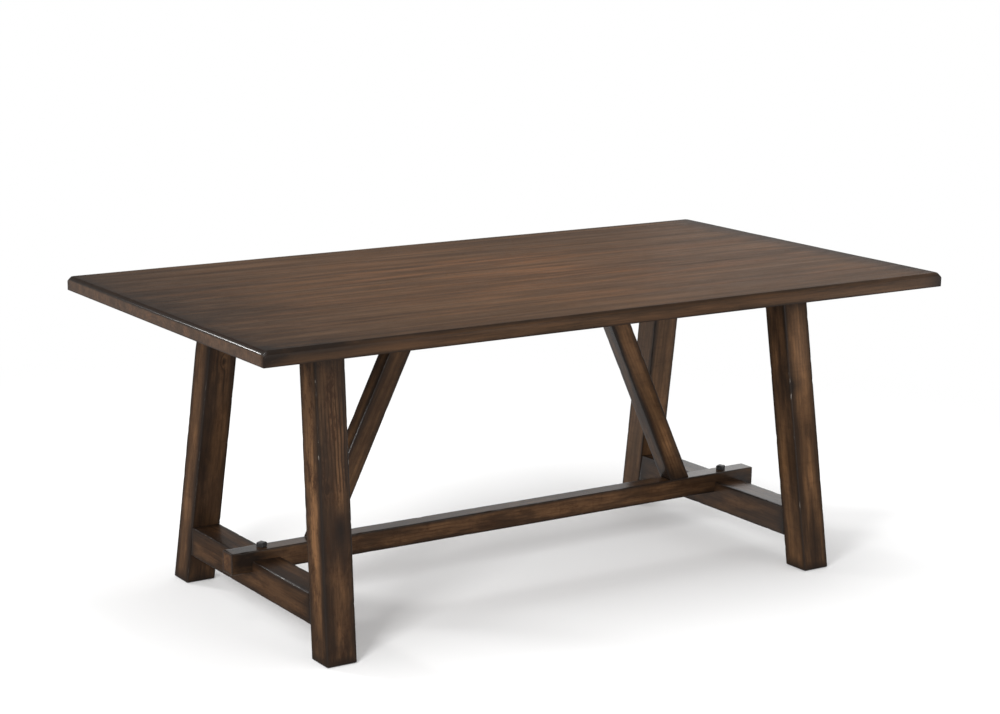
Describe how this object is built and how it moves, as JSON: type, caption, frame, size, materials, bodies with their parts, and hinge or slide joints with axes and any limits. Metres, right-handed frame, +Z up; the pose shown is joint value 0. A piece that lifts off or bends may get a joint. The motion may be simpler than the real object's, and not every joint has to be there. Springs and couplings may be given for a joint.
{
  "type": "trestle dining table",
  "caption": "Rectangular dining table with a thick plank top on two splayed trestle ends, joined by a lapped and bolted long stretcher with diagonal braces up to the top.",
  "frame": {"origin": "on the floor under the middle of the top", "axes": "+X along the table's length, +Y across it to the back, +Z up"},
  "size_m": [1.905, 1, 0.762],
  "materials": {
    "stained_top": "dark walnut stain under a satin clear coat, darker burnished edges",
    "stained_frame": "dark walnut stain under a satin clear coat, worn and darkened arrises",
    "bare_beech": "unfinished",
    "blackened_steel": "satin black",
    "zinc_steel": "zinc plated",
    "insert_brass": "turned",
    "glide_nylon": "moulded, matt"
  },
  "bodies": {
    "root": {"top_board_1": "stained_top", "top_board_2": "stained_top", "top_board_3": "stained_top", "top_board_4": "stained_top", "top_board_5": "stained_top", "top_board_6": "stained_top", "top_board_7": "stained_top", "top_loose_tenons": "bare_beech", "leg_front_left": "stained_frame", "leg_back_left": "stained_frame", "end_stretcher_left": "stained_frame", "brace_left": "stained_frame", "trestle_cleat_left": "stained_frame", "brace_cleat_left": "stained_frame", "lap_bolt_left": "blackened_steel", "leg_front_right": "stained_frame", "leg_back_right": "stained_frame", "end_stretcher_right": "stained_frame", "brace_right": "stained_frame", "trestle_cleat_right": "stained_frame", "brace_cleat_right": "stained_frame", "lap_bolt_right": "blackened_steel", "long_stretcher": "stained_frame", "lap_washers": "zinc_steel", "lap_nuts": "zinc_steel", "cleat_bolts": "zinc_steel", "cleat_washers": "zinc_steel", "brace_foot_screws": "zinc_steel", "brace_head_screws": "zinc_steel", "brace_cleat_screws": "zinc_steel", "top_inserts": "insert_brass", "leg_glides": "glide_nylon"}
  },
  "joints": []
}
